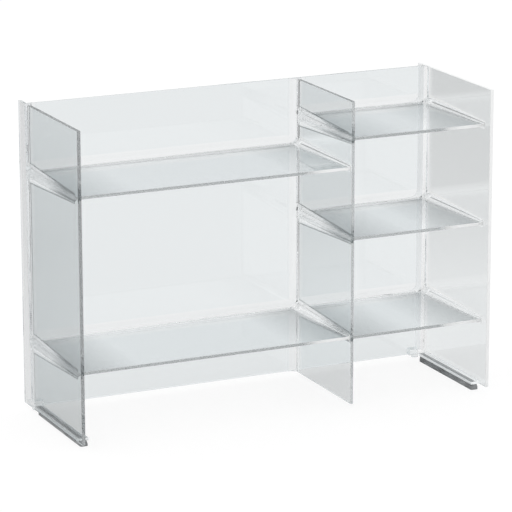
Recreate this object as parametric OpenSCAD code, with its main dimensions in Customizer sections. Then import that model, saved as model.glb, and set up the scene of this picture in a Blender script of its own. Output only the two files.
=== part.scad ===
// Clear acrylic shelving unit: a wide left bay with two long shelves and a narrow right bay with
// three short ones. The front faces -Y and the floor is z = 0, under the middle of the unit.

/* [Overall size] */
// Width over the two side panels
unit_w = 750; // [650:5:900]
// Depth of the side panels from front edge to rear edge
unit_d = 260; // [230:5:320]
// Height from the floor to the top edges
unit_h = 530; // [500:5:620]

/* [Panel thickness] */
// Thickness of the two side panels
side_t = 6; // [5:0.5:8]
// Thickness of the back panel
back_t = 6; // [5:0.5:8]
// Thickness of the centre divider
divider_t = 5; // [4:0.5:8]
// Thickness of the five shelves
shelf_t = 5; // [4:0.5:8]
// Chamfer on every polished edge
edge_c = 0.5; // [0.2:0.1:1]

/* [Layout] */
// Clear width of the wide left bay
left_bay_w = 486; // [400:1:520]
// Height of the panels' lower edges above the floor
floor_gap = 10; // [8:0.5:14]
// Height of the middle of the lowest shelves
low_shelf_z = 125; // [100:1:135]
// Height of the top edges above the middle of the upper long shelf
long_drop = 113.5; // [80:0.5:180]
// Height of the top edges above the middle of the top short shelf
short_drop = 64; // [45:0.5:90]
// Distance from the rear edges of the sides to the front face of the back panel
back_inset = 30.5; // [30:0.5:50]
// How far the divider stands back from the front edges of the sides
divider_setback = 14; // [8:1:20]
// How far the shelves stand back from the front edges of the sides
shelf_setback = 18; // [10:1:30]

/* [Coves] */
// Cove radius at the back panel
cove_rear = 13.5; // [6:0.5:15]
// Cove radius at the shelves' front edges, where the coves have narrowed
cove_front = 4.5; // [3:0.5:6]
// Thickness at which a cove ends on the face that it runs out on
cove_land = 0.3; // [0.2:0.1:0.5]

/* [Feet] */
// Width of the foot flange inside each side panel
foot_flange_w = 15; // [14:0.5:20]
// Thickness of the foot flange
foot_flange_t = 4.5; // [4:0.5:7]
// Radius of the cove between the foot flange and its side panel
foot_cove = 3; // [2:0.5:5]
// Distance from the front edges of the sides to the foot strips
strip_setback = 24; // [15:1:40]
// Width of a foot strip on the floor
strip_base_w = 13.5; // [10:0.5:13.5]
// Width of a foot strip at its top
strip_top_w = 7; // [6:0.5:9]
// Height of a foot strip's upright flanks, below its sloping ones
strip_flank_h = 2.5; // [1:0.5:5]
// Corner radius of a foot strip, seen from above
strip_corner_r = 3; // [1:0.5:4]
// Width of a rear foot's block
block_w = 23; // [20:1:30]
// Depth of a rear foot's block
block_d = 16; // [15.5:0.5:22]
// Height of a rear foot's block
block_h = 10.5; // [8:0.5:16]
// Corner radius of a rear foot's block
block_r = 4; // [2:0.5:6]
// Diameter of a rear foot's round pad
pad_d = 12; // [10:0.5:15]
// Height of a rear foot's round pad
pad_h = 6; // [4:0.5:8]

/* [Clearances] */
// Gap between a foot strip and the coves behind it
strip_end_gap = 0.7; // [0.3:0.1:2]

/* [Hidden] */
$fn = 64;
hull_fn = 32;

// Faces of the panels
side_x = unit_w / 2 - side_t;
front_y = -unit_d / 2;
rear_y = unit_d / 2;
back_y = rear_y - back_inset;
divider_x0 = -side_x + left_bay_w;
divider_x1 = divider_x0 + divider_t;
divider_y = front_y + divider_setback;
shelf_y = front_y + shelf_setback;

// Heights of the shelves in each bay, middle of each
long_z = [low_shelf_z, unit_h - long_drop];
short_top_z = unit_h - short_drop;
short_z = [low_shelf_z, (low_shelf_z + short_top_z) / 2, short_top_z];

// Half height of a shelf's coves at the back and at the front
cove_size = cove_rear + cove_land;
rear_half = shelf_t / 2 + cove_rear;
front_half = shelf_t / 2 + cove_front;

// The foot strip and its flange
strip_y0 = front_y + strip_setback;
strip_y1 = back_y - cove_size - strip_end_gap;
strip_mid = side_x - foot_flange_w / 2;

clear = [0.86, 0.91, 0.91, 0.45];
grey = [0.42, 0.43, 0.45];

// Rectangle with its corners cut at 45 degrees
module cut_rect(lo, hi, c) {
    polygon([
        [lo.x + c, lo.y], [hi.x - c, lo.y], [hi.x, lo.y + c], [hi.x, hi.y - c],
        [hi.x - c, hi.y], [lo.x + c, hi.y], [lo.x, hi.y - c], [lo.x, lo.y + c]
    ]);
}

// Outline in Y and Z, drawn out along X from x0 to x1
module along_x(x0, x1) {
    translate([x0, 0, 0])
        rotate([90, 0, 90])
            linear_extrude(x1 - x0) children();
}

// Outline in X and Z, drawn out along Y from y0 to y1
module along_y(y0, y1) {
    translate([0, y1, 0])
        rotate([90, 0, 0])
            linear_extrude(y1 - y0) children();
}

// Outline in X and Y, drawn out along Z from z0 to z1
module along_z(z0, z1) {
    translate([0, 0, z0])
        linear_extrude(z1 - z0) children();
}

// Plate between two corners, with all twelve edges chamfered
module plate(lo, hi) {
    intersection() {
        along_x(lo.x, hi.x) cut_rect([lo.y, lo.z], [hi.y, hi.z], edge_c);
        along_y(lo.y, hi.y) cut_rect([lo.x, lo.z], [hi.x, hi.z], edge_c);
        along_z(lo.z, hi.z) cut_rect([lo.x, lo.y], [hi.x, hi.y], edge_c);
    }
}

// Filled corner with a quarter circle taken out, in the quadrant of +X and +Y. Its roots go into
// the plates that it joins, past the X axis by root_y and past the Y axis by root_x.
module cove_outline(r, land, root_x, root_y) {
    size = r + land;
    difference() {
        translate([-root_x, -root_y]) square([size + root_x, size + root_y]);
        translate([size, size]) circle(r);
    }
}

// Round-cornered rectangle from exact circles and squares
module round_rect(lo, hi, r) {
    translate([lo.x + r, lo.y]) square([hi.x - lo.x - 2 * r, hi.y - lo.y]);
    translate([lo.x, lo.y + r]) square([hi.x - lo.x, hi.y - lo.y - 2 * r]);
    for (x = [lo.x + r, hi.x - r], y = [lo.y + r, hi.y - r])
        translate([x, y]) circle(r);
}

// Ball whose points lie exactly on its six poles, so that its hull meets flat faces cleanly
module ball(r) {
    step = 360 / hull_fn;
    rotate_extrude($fn = hull_fn)
        polygon([for (a = [-90:step:90]) r * [cos(a), sin(a)]]);
}

// Right-hand side panel, with the flange that its foot strip is bonded under
module side_panel() {
    flange_x = side_x - foot_flange_w;
    flange_z = floor_gap + foot_flange_t;
    plate([side_x, front_y, floor_gap], [side_x + side_t, rear_y, unit_h]);
    along_y(strip_y0, strip_y1) {
        cut_rect([flange_x, floor_gap], [side_x + side_t / 2, flange_z], edge_c);
        translate([side_x, flange_z]) mirror([1, 0])
            cove_outline(foot_cove, 0, side_t / 2, foot_flange_t / 2);
    }
}

// Grey strip with sloping flanks and round ends
module foot_strip() {
    intersection() {
        along_y(strip_y0, strip_y1)
            translate([strip_mid, 0])
                polygon([
                    [-strip_base_w / 2, 0], [strip_base_w / 2, 0],
                    [strip_base_w / 2, strip_flank_h], [strip_top_w / 2, floor_gap],
                    [-strip_top_w / 2, floor_gap], [-strip_base_w / 2, strip_flank_h]
                ]);
        along_z(0, floor_gap)
            translate([strip_mid, 0])
                round_rect([-strip_base_w / 2, strip_y0], [strip_base_w / 2, strip_y1], strip_corner_r);
    }
}

// Clear foot in the corner behind the back panel: a block on a round pad
module rear_foot() {
    block_x = side_x - block_w;
    block_y = back_y + back_t;
    pad_r = pad_d / 2;
    along_z(pad_h, pad_h + block_h) {
        translate([block_x + block_r, block_y]) square([block_w - block_r, block_d]);
        translate([block_x, block_y]) square([block_w, block_d - block_r]);
        translate([block_x + block_r, block_y + block_d - block_r]) circle(block_r);
    }
    translate([side_x - block_d / 2, block_y + block_d / 2, 0])
        rotate_extrude()
            polygon([
                [0, 0], [pad_r - edge_c, 0], [pad_r, edge_c],
                [pad_r, pad_h + block_h / 2], [0, pad_h + block_h / 2]
            ]);
}

// Upright cove in the corner of a bay, between the shelves that stand at the heights in levels
module upright_cove(x, towards, levels) {
    starts = concat([floor_gap], [for (z = levels) z + rear_half]);
    ends = concat([for (z = levels) z - rear_half], [unit_h]);
    for (i = [0:len(starts) - 1])
        along_z(starts[i], ends[i])
            translate([x, back_y])
                mirror([0, 1]) mirror([towards < 0 ? 1 : 0, 0])
                    cove_outline(cove_rear, cove_land, 0, back_t / 2);
}

// Plate that closes both bays, with the coves of their upright corners
module back_panel() {
    color(clear) {
        along_x(-side_x, side_x)
            cut_rect([back_y, floor_gap], [back_y + back_t, unit_h], edge_c);
        upright_cove(-side_x, 1, long_z);
        upright_cove(divider_x0, -1, long_z);
        upright_cove(divider_x1, 1, short_z);
        upright_cove(side_x, -1, short_z);
    }
}

// Thin plate between the bays, square where it meets the back panel
module centre_divider() {
    color(clear)
        difference() {
            plate([divider_x0, divider_y, floor_gap], [divider_x1, back_y + edge_c, unit_h]);
            along_z(floor_gap - 1, unit_h + 1)
                translate([divider_x0 - 1, back_y]) square([divider_t + 2, edge_c + 1]);
        }
}

// Space above a shelf that its moulding core fills. Its lower corners are round: wide at the back,
// narrowing to the front. grow widens its mouth, which chamfers the shelf's front edges.
module shelf_core(x0, x1) {
    high = shelf_t / 2 + 2 * cove_rear + 1;
    mouth = cove_land + cove_front;
    hull() {
        for (x = [x0 + cove_size, x1 - cove_size])
            translate([x, back_y - cove_size, shelf_t / 2 + cove_rear]) {
                ball(cove_rear);
                cylinder(r = cove_rear, h = high - shelf_t / 2 - cove_rear, $fn = hull_fn);
            }
        for (x = [x0 + mouth, x1 - mouth])
            translate([x, shelf_y, front_half])
                rotate([90, 0, 0]) cylinder(r = cove_front, h = 1, $fn = hull_fn);
        translate([x0 + cove_land, shelf_y - 1, high - 1])
            cube([x1 - x0 - 2 * cove_land, 1, 1]);
    }
    hull() {
        for (x = [x0 + mouth, x1 - mouth], grow = [0, edge_c])
            translate([x, shelf_y + edge_c - grow, front_half])
                rotate([90, 0, 0]) cylinder(r = cove_front + grow, h = 0.01, $fn = hull_fn);
    }
}

// Shelf between the faces x0 and x1, whose ends and rear edge flare into coves
module shelf(x0, x1, z) {
    turn_y = back_y - cove_size;
    color(clear)
        translate([0, 0, z])
            difference() {
                along_x(x0, x1)
                    polygon([
                        [shelf_y, -front_half], [turn_y, -rear_half], [back_y, -rear_half],
                        [back_y, rear_half], [turn_y, rear_half], [shelf_y, front_half]
                    ]);
                shelf_core(x0, x1);
                mirror([0, 0, 1]) shelf_core(x0, x1);
            }
}

module right_side_panel() { color(clear) side_panel(); }
module left_side_panel() { mirror([1, 0, 0]) right_side_panel(); }
module upper_long_shelf() { shelf(-side_x, divider_x0, long_z[1]); }
module lower_long_shelf() { shelf(-side_x, divider_x0, long_z[0]); }
module top_short_shelf() { shelf(divider_x1, side_x, short_z[2]); }
module middle_short_shelf() { shelf(divider_x1, side_x, short_z[1]); }
module bottom_short_shelf() { shelf(divider_x1, side_x, short_z[0]); }
module right_foot_strip() { color(grey) foot_strip(); }
module left_foot_strip() { mirror([1, 0, 0]) right_foot_strip(); }
module right_rear_foot() { color(clear) rear_foot(); }
module left_rear_foot() { mirror([1, 0, 0]) right_rear_foot(); }

left_side_panel();
right_side_panel();
back_panel();
centre_divider();
upper_long_shelf();
lower_long_shelf();
top_short_shelf();
middle_short_shelf();
bottom_short_shelf();
left_foot_strip();
right_foot_strip();
left_rear_foot();
right_rear_foot();
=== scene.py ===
from math import cos, radians, sin

import bmesh
import bpy
from mathutils import Matrix, Vector


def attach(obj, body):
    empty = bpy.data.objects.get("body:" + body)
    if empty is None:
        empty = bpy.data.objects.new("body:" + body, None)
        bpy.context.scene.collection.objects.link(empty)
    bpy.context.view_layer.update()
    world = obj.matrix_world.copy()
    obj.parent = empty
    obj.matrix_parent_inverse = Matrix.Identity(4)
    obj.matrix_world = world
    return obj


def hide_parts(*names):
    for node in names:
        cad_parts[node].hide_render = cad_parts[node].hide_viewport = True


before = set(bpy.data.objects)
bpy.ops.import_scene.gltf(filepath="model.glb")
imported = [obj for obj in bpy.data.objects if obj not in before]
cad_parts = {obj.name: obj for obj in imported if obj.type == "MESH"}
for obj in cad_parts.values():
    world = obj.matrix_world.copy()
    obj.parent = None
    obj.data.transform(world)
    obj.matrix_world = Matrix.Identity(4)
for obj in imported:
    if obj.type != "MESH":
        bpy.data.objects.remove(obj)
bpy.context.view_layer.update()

mm = 0.001


def reach(node, axis):  # from where to where a CAD node reaches along an axis, in millimetres
    places = [getattr(corner.co, axis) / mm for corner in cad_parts[node].data.vertices]
    return round(min(places), 2), round(max(places), 2)


def middles(*shelves):
    return tuple(sum(reach(shelf, "z")) / 2 for shelf in shelves)


# sizes of the CAD model, in millimetres, that the masks line up with
unit = {
    "sideFace": reach("back_panel", "x")[1],            # inner faces of the side panels
    "sideFront": reach("left_side_panel", "y")[0],
    "backFace": reach("centre_divider", "y")[1],        # front face of the back panel
    "backRear": reach("back_panel", "y")[1],
    "coveStart": reach("back_panel", "y")[0],           # where the upright coves leave the side walls
    "dividerLeft": reach("centre_divider", "x")[0],
    "dividerRight": reach("centre_divider", "x")[1],
    "dividerFront": reach("centre_divider", "y")[0],
    "shelfFront": reach("upper_long_shelf", "y")[0],
    "longLevels": middles("lower_long_shelf", "upper_long_shelf"),
    "shortLevels": middles("bottom_short_shelf", "middle_short_shelf", "top_short_shelf"),
    "footTop": reach("right_rear_foot", "z")[1],
    "footInner": reach("right_rear_foot", "x")[0],
    "footRear": reach("right_rear_foot", "y")[1],
    "panelFoot": reach("left_side_panel", "z")[0],
    "top": reach("left_side_panel", "z")[1],
    "flatHalf": 2.6,        # half height of a shelf's flat part, and a little more
    "frontHalf": 7.0,       # half height of a shelf's end, at the front
    "slack": 0.03,          # how near a point has to be to a joint's plane
    "cut": 0.6,             # how deep the sawn faces' chamfers reach
}
unit["rearHalf"] = reach("upper_long_shelf", "z")[1] - unit["longLevels"][1]    # the same at the back


class Wire:  # a shader socket that takes part in Python sums
    def __init__(self, board, socket):
        self.board, self.socket = board, socket

    def sum(self, operation, *values):
        return self.board.add("ShaderNodeMath", {"operation": operation}, dict(enumerate(values)))

    def __add__(self, other):
        return self.sum("ADD", self, other)

    def __radd__(self, other):
        return self.sum("ADD", other, self)

    def __sub__(self, other):
        return self.sum("SUBTRACT", self, other)

    def __rsub__(self, other):
        return self.sum("SUBTRACT", other, self)

    def __mul__(self, other):
        return self.sum("MULTIPLY", self, other)

    def __rmul__(self, other):
        return self.sum("MULTIPLY", other, self)

    def __truediv__(self, other):
        return self.sum("DIVIDE", self, other)

    def __abs__(self):
        return self.sum("ABSOLUTE", self)

    def __gt__(self, other):
        return self.sum("GREATER_THAN", self, other)

    def __lt__(self, other):
        return self.sum("LESS_THAN", self, other)

    def __or__(self, other):
        return self.sum("MAXIMUM", self, other)

    def near(self, value):
        return self.sum("COMPARE", self, value, unit["slack"])

    def between(self, low, high):
        return (self > low) * (self < high)

    def ramp(self, start, span):  # from 0 at start to 1 at start + span
        part = (self - start) / span
        return part.sum("MINIMUM", part | 0.0, 1.0)


class Board:  # one node tree, to which every node is added in the same way
    def __init__(self, owner):
        owner.use_nodes = True
        self.tree = owner.node_tree
        self.tree.nodes.clear()

    def add(self, kind, settings=None, inputs=None, output=0):
        node = self.tree.nodes.new(kind)
        for name, value in (settings or {}).items():
            if name == "stops":
                ramp = node.color_ramp
                while len(ramp.elements) < len(value):
                    ramp.elements.new(0.5)
                for element, (place, colour) in zip(ramp.elements, value):
                    element.position = place
                    element.color = colour
            else:
                setattr(node, name, value)
        for name, value in (inputs or {}).items():
            if isinstance(value, Wire):
                self.tree.links.new(value.socket, node.inputs[name])
            else:
                node.inputs[name].default_value = value
        return Wire(self, node.outputs[output]) if len(node.outputs) else node

    def blend(self, factor, first, second):  # two colours, of which either may be a socket
        first, second = (c if isinstance(c, Wire) else (*c, 1.0) for c in (first, second))
        inputs = {"Factor": factor, 6: first, 7: second}  # its colour sockets, with their blend as output 2
        return self.add("ShaderNodeMix", {"data_type": "RGBA"}, inputs, output=2)

    def noise(self, here, scale, detail):
        return self.add("ShaderNodeTexNoise", inputs={"Vector": here, "Scale": scale, "Detail": detail})

    def ray(self, kind):
        return self.add("ShaderNodeLightPath", output="Is " + kind + " Ray")

    def through(self):  # a ray that has been in the acrylic; its last turn may still be a reflection
        return self.add("ShaderNodeLightPath", output="Transmission Depth") > 0.5

    def mirrored(self):  # a ray that came off a surface without having been in the acrylic
        return self.ray("Glossy") * (1.0 - self.through())

    def mirroredOnce(self):  # a ray that came off one surface and went through the acrylic
        return self.through() * self.add("ShaderNodeLightPath", output="Glossy Depth").between(0.5, 1.5)

    def turned(self):  # a ray that turned several times inside a sheet before it came out
        return self.through() * (self.add("ShaderNodeLightPath", output="Glossy Depth") > 1.5)

    def offCamera(self):  # a ray that has met nothing dull on its way from the camera
        return self.add("ShaderNodeLightPath", output="Diffuse Depth") < 0.5

    def place(self):  # Object coordinates in millimetres
        here = self.add("ShaderNodeTexCoord", output="Object")
        split = [self.add("ShaderNodeSeparateXYZ", inputs={0: here}, output=i) for i in range(3)]
        return here, [axis * (1.0 / mm) for axis in split]


def anyOf(masks):
    total = masks[0]
    for mask in masks[1:]:
        total = total | mask
    return total


# masks of the faces that are bonded to another piece, so that light crosses them as in one moulding

def flares(y, z, levels, margin=0.0):  # the ends of the shelves, which get higher towards the back
    part = y.ramp(unit["shelfFront"], unit["coveStart"] - unit["shelfFront"])
    half = part * (unit["rearHalf"] - unit["frontHalf"]) + unit["frontHalf"] + margin
    return (y > unit["shelfFront"]) * anyOf([abs(z - level) < half for level in levels])


def sideBond(levels):
    def mask(x, y, z):
        shelves = flares(y, z, levels) * (y < unit["backRear"])
        cove = y.between(unit["coveStart"], unit["backRear"])
        foot = (z < unit["footTop"]) * y.between(unit["backRear"], unit["footRear"])
        return abs(x).near(unit["sideFace"]) * (shelves | cove | foot)
    return mask


def dividerBond(x, y, z):
    cove = y > unit["coveStart"]
    left = x.near(unit["dividerLeft"]) * (flares(y, z, unit["longLevels"]) | cove)
    right = x.near(unit["dividerRight"]) * (flares(y, z, unit["shortLevels"]) | cove)
    return left | right | y.near(unit["backFace"])


def backBond(x, y, z):
    bays = [(x < unit["dividerLeft"], unit["longLevels"]), (x > unit["dividerRight"], unit["shortLevels"])]
    shelves = anyOf([bay * (abs(z - level) < unit["rearHalf"]) for bay, levels in bays for level in levels])
    ends = anyOf([bay * abs(z - level).near(unit["rearHalf"]) for bay, levels in bays for level in levels])
    front = y.near(unit["backFace"]) * (shelves | x.between(unit["dividerLeft"], unit["dividerRight"]))
    walls = x.near(unit["dividerLeft"]) | x.near(unit["dividerRight"]) | ends
    feet = y.near(unit["backRear"]) * (abs(x) > unit["footInner"]) * (z < unit["footTop"])
    return front | walls * (y < unit["backFace"]) | abs(x).near(unit["sideFace"]) | feet


def shelfBond(level, leftEnd, rightEnd):
    def mask(x, y, z):
        corner = abs(z - level).near(unit["rearHalf"]) * (y > unit["coveStart"])
        return x.near(leftEnd) | x.near(rightEnd) | y.near(unit["backFace"]) | corner
    return mask


def footBond(x, y, z):
    return (abs(x).near(unit["sideFace"]) | y.near(unit["backRear"])) * (z > unit["panelFoot"])


# masks of edges, margins, lines and coves, each with the name of its colour in the acrylic's settings;
# these colours are painted light and painted shade, standing in for light that runs inside the sheets

def frontEdge(front, shade):
    return lambda x, y, z: y < front + unit["cut"], shade


def topEdge(shade):
    return lambda x, y, z: z > unit["top"] - unit["cut"], shade


def footEdge(shade):
    return lambda x, y, z: z < unit["panelFoot"] + unit["cut"], shade


# painted light: a lighter margin behind the upright coves
rearMargin = (lambda x, y, z: y > unit["coveStart"]), "rearMargin"


def rearLine(face):  # painted shade: a fainter line down the panel's face, where the upright cove begins
    def mask(x, y, z):
        return x.near(face) * y.between(unit["coveStart"] - acrylic["rearLineWidth"], unit["coveStart"])
    return mask, "rearLine"


def jointLine(face, levels):  # painted shade: a dark line along a shelf's coves, on the panel's face beside the joint
    def mask(x, y, z):
        return x.near(face) * (y < unit["coveStart"]) * flares(y, z, levels, acrylic["lineWidth"])
    return mask, "jointLine"


def frontEnd(end):  # the right end of a shelf's front edge, which catches the light
    def mask(x, y, z):
        lit = x.ramp(end - acrylic["glintReach"], acrylic["glintFade"])
        return (y < unit["shelfFront"] + unit["cut"]) * lit
    return mask, "lightEdge"


# painted highlight: a shelf's cove faces are left untinted, so that they show lighter
def coveFaces(level):
    return lambda x, y, z: abs(z - level) > unit["flatHalf"], "clear"


# painted highlight: the back panel's upright coves are left untinted, so that they show lighter
uprightCoves = (lambda x, y, z: y < unit["backFace"] - unit["cut"]), "clear"


acrylic = {
    "ior": 1.49,
    "rough": 0.012,
    "smearScale": 9.0,
    "smearDetail": 3.0,
    "waveScale": 6.0,
    "waveDetail": 1.0,
    "waveHeight": 0.0004,
    "waveStrength": 0.05,
    # each colour at the foot and at the top of a panel, or at the ends and in the middle of a shelf: the
    # acrylic's own cool tint, with painted shade where it darkens towards the left panel's and the
    # divider's foot, towards the right panel's top, towards a shelf's ends, and on the lower shelves
    "leftSide": ((0.72, 0.745, 0.75), (0.90, 0.925, 0.93)),
    "rightSide": ((0.93, 0.95, 0.955), (0.80, 0.82, 0.825)),
    "divider": ((0.87, 0.89, 0.895), (0.92, 0.94, 0.945)),
    "back": ((0.91, 0.94, 0.95), (0.91, 0.94, 0.95)),
    "topShelf": ((0.62, 0.65, 0.655), (0.96, 0.975, 0.98)),
    "lowShelf": ((0.53, 0.55, 0.555), (0.94, 0.96, 0.965)),
    "foot": ((0.90, 0.92, 0.925), (0.90, 0.92, 0.925)),
    "endReach": 110.0,      # how far in from a shelf's end its painted shade, darker at the end, reaches, in millimetres
    # painted light on the rear margins
    "rearMargin": (0.95, 0.96, 0.965),
    # the untinted coves' painted highlight
    "clear": (1.0, 1.0, 1.0),
    # edge colours: painted shade on the dark edges, painted light on the light ones
    "leftEdge": (0.16, 0.17, 0.175),
    "midEdge": (0.26, 0.275, 0.28),
    "dividerEdge": (0.36, 0.375, 0.38),
    "darkEdge": (0.14, 0.15, 0.155),
    "lightEdge": (0.97, 0.98, 0.98),
    "joint": (0.58, 0.60, 0.605),   # painted shade: a shelf's left joint, which darkens towards the front
    # painted shade: the dark lines beside the joints and where the upright coves begin
    "jointLine": (0.22, 0.235, 0.24),
    "lineWidth": 2.0,
    "rearLine": (0.50, 0.52, 0.525),
    "rearLineWidth": 4.5,
    "paintedEdgeLight": (0.95, 0.96, 0.96),    # a white diffuse mixed into the light edges and glints: painted highlight
    "glintReach": 85.0,     # where along the front edge it starts, before the shelf's right end
    "glintFade": 55.0,
    "jointStart": -10.0,
    "jointSpan": 80.0,
}


# painted shade: a panel's colour changes from its foot to its top
def byHeight(x, y, z):
    return z.ramp(0.0, unit["top"])


def byEnd(leftEnd, rightEnd):  # 0 at a shelf's ends and 1 between them, for the painted shade that darkens towards the ends
    middle, half = (leftEnd + rightEnd) / 2, (rightEnd - leftEnd) / 2
    return lambda x, y, z: (half - abs(x - middle)).ramp(0.0, acrylic["endReach"])


def acrylicMaterial(name, tintAndShade, spread, bond, edges, joint=None):
    material = bpy.data.materials.new("clear acrylic " + name)
    board = Board(material)
    here, (x, y, z) = board.place()
    # the acrylic's own tint, with painted shade by height or towards a shelf's ends
    colour = board.blend(spread(x, y, z), *tintAndShade)
    # painted light and painted shade on the edges, margins, lines and coves
    for mask, shade in edges:
        colour = board.blend(mask(x, y, z), colour, acrylic[shade])
    smear = board.noise(here, acrylic["smearScale"], acrylic["smearDetail"])
    wave = board.noise(here, acrylic["waveScale"], acrylic["waveDetail"])
    bump = board.add("ShaderNodeBump", inputs={
        "Height": wave, "Distance": acrylic["waveHeight"], "Strength": acrylic["waveStrength"]})
    shader = board.add("ShaderNodeBsdfPrincipled", inputs={
        "Base Color": colour, "Roughness": smear * acrylic["rough"], "IOR": acrylic["ior"],
        "Transmission Weight": 1.0, "Alpha": 1.0 - bond(x, y, z), "Normal": bump})
    # painted highlight: the light edges and glints get a white diffuse mixed in
    litEdges = [mask(x, y, z) for mask, shade in edges if shade == "lightEdge"]
    if litEdges:
        paintedEdgeLight = board.add("ShaderNodeBsdfDiffuse", inputs={"Color": (*acrylic["paintedEdgeLight"], 1.0)})
        shader = board.add("ShaderNodeMixShader", inputs={0: anyOf(litEdges), 1: shader, 2: paintedEdgeLight})
    # painted shade: a shelf's left joint darkens towards the front
    if joint:
        dark = board.add("ShaderNodeBsdfTransparent", inputs={"Color": (*acrylic["joint"], 1.0)})
        front = x.near(joint) * (0.0 - y).ramp(acrylic["jointStart"], acrylic["jointSpan"])
        shader = board.add("ShaderNodeMixShader", inputs={0: front, 1: shader, 2: dark})
    board.add("ShaderNodeOutputMaterial", inputs={"Surface": shader})
    return material


strip = {
    "colour": (0.40, 0.41, 0.42),
    "fade": 0.25,           # how much darker and lighter the patches are
    "darkAt": 0.3,
    "lightAt": 0.7,
    "patchScale": 30.0,
    "patchDetail": 3.0,
    "grainScale": 900.0,
    "grainDetail": 2.0,
    "grainHeight": 0.00012,
    "grainStrength": 0.5,
    "rough": 0.42,
    "roughSpread": 0.12,
    "airGap": 0.05 * mm,
}


def stripMaterial():
    material = bpy.data.materials.new("grey strip plastic")
    board = Board(material)
    here = board.place()[0]
    grain = board.noise(here, strip["grainScale"], strip["grainDetail"])
    patch = board.noise(here, strip["patchScale"], strip["patchDetail"])
    dark = tuple(v * (1.0 - strip["fade"]) for v in strip["colour"])
    light = tuple(v * (1.0 + strip["fade"]) for v in strip["colour"])
    stops = [(strip["darkAt"], (*dark, 1.0)), (strip["lightAt"], (*light, 1.0))]
    colour = board.add("ShaderNodeValToRGB", {"stops": stops}, {0: patch})
    bump = board.add("ShaderNodeBump", inputs={
        "Height": grain, "Distance": strip["grainHeight"], "Strength": strip["grainStrength"]})
    shader = board.add("ShaderNodeBsdfPrincipled", inputs={
        "Base Color": colour, "Roughness": grain * strip["roughSpread"] + strip["rough"], "Normal": bump})
    board.add("ShaderNodeOutputMaterial", inputs={"Surface": shader})
    return material


moulding = {"joinGap": 0.002 * mm, "sharpAngle": 25.0, "flatWeight": 100}


def mouldedCopy(node, material):  # the node's own shape, merged, with its coves shaded smooth
    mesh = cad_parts[node].data.copy()
    mesh.name = node + "_piece"
    shape = bmesh.new()
    shape.from_mesh(mesh)
    bmesh.ops.remove_doubles(shape, verts=shape.verts, dist=moulding["joinGap"])
    bmesh.ops.dissolve_degenerate(shape, edges=shape.edges, dist=moulding["joinGap"])
    for face in shape.faces:
        face.smooth = True
    for edge in shape.edges:
        edge.smooth = edge.is_manifold and edge.calc_face_angle(0.0) < radians(moulding["sharpAngle"])
    shape.to_mesh(mesh)
    shape.free()
    mesh.materials.clear()
    mesh.materials.append(material)
    piece = bpy.data.objects.new(node + "_piece", mesh)
    bpy.context.scene.collection.objects.link(piece)
    weight = piece.modifiers.new("flats stay flat", "WEIGHTED_NORMAL")
    weight.keep_sharp = True
    weight.weight = moulding["flatWeight"]
    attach(piece, "root")
    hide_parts(node)
    return piece


longEnds = (-unit["sideFace"], unit["dividerLeft"])
shortEnds = (unit["dividerRight"], unit["sideFace"])
lowLong, highLong = unit["longLevels"]
lowShort, midShort, highShort = unit["shortLevels"]
clearPieces = [
    ("left_side_panel", "leftSide", byHeight, sideBond(unit["longLevels"]),
        [rearLine(-unit["sideFace"]), jointLine(-unit["sideFace"], unit["longLevels"]), topEdge("darkEdge"),
            footEdge("darkEdge"), rearMargin, frontEdge(unit["sideFront"], "leftEdge")]),
    ("right_side_panel", "rightSide", byHeight, sideBond(unit["shortLevels"]),
        [rearMargin, frontEdge(unit["sideFront"], "lightEdge"), topEdge("lightEdge")]),
    ("back_panel", "back", byHeight, backBond, [uprightCoves]),
    ("centre_divider", "divider", byHeight, dividerBond,
        [jointLine(unit["dividerRight"], unit["shortLevels"]),
            frontEdge(unit["dividerFront"], "dividerEdge"), topEdge("darkEdge"), rearMargin]),
    ("left_rear_foot", "foot", byHeight, footBond, []),
    ("right_rear_foot", "foot", byHeight, footBond, []),
]
for node, tintAndShade, spread, bond, edges in clearPieces:
    mouldedCopy(node, acrylicMaterial(node, acrylic[tintAndShade], spread, bond, edges))
shelves = [
    ("upper_long_shelf", "topShelf", highLong, longEnds),
    ("lower_long_shelf", "lowShelf", lowLong, longEnds),
    ("top_short_shelf", "topShelf", highShort, shortEnds),
    ("middle_short_shelf", "lowShelf", midShort, shortEnds),
    ("bottom_short_shelf", "lowShelf", lowShort, shortEnds),
]
for node, tintAndShade, level, ends in shelves:
    edges = [coveFaces(level), frontEdge(unit["shelfFront"], "midEdge"), frontEnd(ends[1])]
    bond = shelfBond(level, *ends)
    material = acrylicMaterial(node, acrylic[tintAndShade], byEnd(*ends), bond, edges, ends[0])
    mouldedCopy(node, material)
print("acrylic pieces made")

stripPlastic = stripMaterial()
for node in ("left_foot_strip", "right_foot_strip"):
    piece = mouldedCopy(node, stripPlastic)
    for corner in piece.data.vertices:  # a little air over the strip: light turns back at the sheet's foot
        corner.co.z = min(corner.co.z, unit["panelFoot"] * mm - strip["airGap"])
print("foot strips made")

studio = {
    "floorSize": 14.0,
    "floorDrop": 0.00005,
    "floorColour": (0.14, 0.14, 0.14),
    "floorBounce": (0.80, 0.80, 0.80),  # and the colour of the light that it throws on dull surfaces
    "farDim": 0.92,         # how much of the floor's light a mirrored ray loses far behind the unit
    "farStart": 0.25,
    "farDepth": 0.9,
    "floorInGloss": (0.35, 0.36, 0.37),
    "frontDim": (0.88, 0.89, 0.90),    # the room in front, where rays that turned inside a sheet come out
    "dimStart": 0.1,
    "dimDepth": 0.7,
    "aheadEnd": 0.3,        # the same room in the world's colour, by how far a ray's direction points back
    "aheadSpan": 0.6,
    "whiteLift": 0.89,      # lifts the floor to white where the camera sees it
    "throughLift": 0.76,    # and nearly so where it is seen through the acrylic
    "plain": (1.0, 1.0, 1.0),
    "upLow": (0.62, 0.63, 0.64),       # the room that mirrored rays meet, from the horizon up
    "upMid": (0.70, 0.71, 0.72),
    "upHigh": (1.0, 1.0, 1.0),
    "midAt": 0.25,
    "highAt": 0.9,
}


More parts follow.
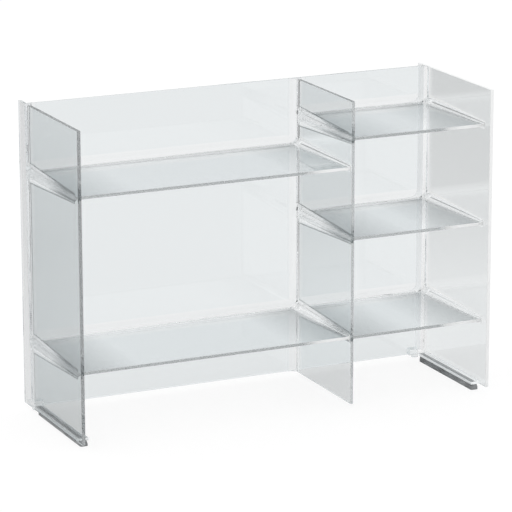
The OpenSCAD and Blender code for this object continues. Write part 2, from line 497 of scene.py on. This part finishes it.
def makeFloor():
    shape = bmesh.new()
    bmesh.ops.create_grid(shape, x_segments=1, y_segments=1, size=studio["floorSize"] / 2)
    bmesh.ops.translate(shape, verts=shape.verts, vec=(0.0, 0.0, -studio["floorDrop"]))
    mesh = bpy.data.meshes.new("studio_floor")
    shape.to_mesh(mesh)
    shape.free()
    floor = bpy.data.objects.new("studio_floor", mesh)
    bpy.context.scene.collection.objects.link(floor)
    material = bpy.data.materials.new("floor")
    board = Board(material)
    y = board.place()[1][1] * mm
    ahead = (0.0 - y).ramp(-studio["dimStart"], studio["dimDepth"]) * board.turned()
    colour = board.blend(board.offCamera(), studio["floorBounce"], studio["floorColour"])
    colour = board.blend(ahead, colour, studio["frontDim"])
    colour = board.blend(board.mirrored(), colour, studio["floorInGloss"])
    away = y.ramp(studio["farStart"], studio["farDepth"]) * board.mirroredOnce() * studio["farDim"]
    through = board.through() * board.offCamera() * (1.0 - ahead) * (1.0 - away)
    lift = board.ray("Camera") * studio["whiteLift"] + through * studio["throughLift"]
    shader = board.add("ShaderNodeBsdfPrincipled", inputs={
        "Base Color": colour, "Specular IOR Level": 0.0, "Emission Color": lift, "Emission Strength": 1.0})
    board.add("ShaderNodeOutputMaterial", inputs={"Surface": shader})
    mesh.materials.append(material)


def makeWorld():
    world = bpy.data.worlds.new("studio")
    bpy.context.scene.world = world
    board = Board(world)
    direction = board.add("ShaderNodeTexCoord", output="Generated")
    height = board.add("ShaderNodeSeparateXYZ", inputs={0: direction}, output=2)
    steps = [(0.0, "upLow"), (studio["midAt"], "upMid"), (studio["highAt"], "upHigh")]
    stops = [(place, (*studio[name], 1.0)) for place, name in steps]
    room = board.add("ShaderNodeValToRGB", {"stops": stops}, {0: height})
    depth = board.add("ShaderNodeSeparateXYZ", inputs={0: direction}, output=1)
    ahead = (0.0 - depth).ramp(-studio["aheadEnd"], studio["aheadSpan"])
    turned = board.blend(ahead, studio["plain"], studio["frontDim"])
    mirrored = (board.mirrored() | board.mirroredOnce()) * board.offCamera()
    colour = board.blend(mirrored, studio["plain"], room)
    colour = board.blend(board.turned() * board.offCamera(), colour, turned)
    light = board.add("ShaderNodeBackground", inputs={"Color": colour, "Strength": 1.0})
    board.add("ShaderNodeOutputWorld", inputs={"Surface": light})


makeFloor()
makeWorld()
print("studio made")

shot = {
    "azimuth": -25.0426,
    "elevation": 14.8349,
    "roll": -0.0825,
    "distance": 5.1306,
    "aim": (0.0, 0.0, 0.265),
    "slideRight": 0.00356,
    "slideUp": 0.01102,
    "lens": 214.633,
    "sensor": 36.0,
    "farClip": 100.0,
}


def makeCamera():
    turn, lift, roll = (radians(shot[name]) for name in ("azimuth", "elevation", "roll"))
    back = Vector((sin(turn) * cos(lift), -cos(turn) * cos(lift), sin(lift)))
    right = Vector((0.0, 0.0, 1.0)).cross(back).normalized()
    up = back.cross(right)
    rolledRight = right * cos(roll) + up * sin(roll)
    rolledUp = up * cos(roll) - right * sin(roll)
    spot = Vector(shot["aim"]) + back * shot["distance"]
    spot -= rolledRight * shot["slideRight"] + rolledUp * shot["slideUp"]
    data = bpy.data.cameras.new("camera")
    data.sensor_width = shot["sensor"]
    data.lens = shot["lens"]
    data.clip_end = shot["farClip"]
    camera = bpy.data.objects.new("camera", data)
    bpy.context.scene.collection.objects.link(camera)
    turned = Matrix((rolledRight, rolledUp, back)).transposed()
    camera.matrix_world = Matrix.Translation(spot) @ turned.to_4x4()
    bpy.context.scene.camera = camera


makeCamera()
bpy.context.scene.view_settings.view_transform = "Standard"

# light runs a long way inside the sheets before it leaves at an edge
lightPath = {
    "max_bounces": 256,
    "glossy_bounces": 240,
    "transmission_bounces": 240,
    "transparent_max_bounces": 128,
}
for name, value in lightPath.items():
    setattr(bpy.context.scene.cycles, name, value)
print("camera set")
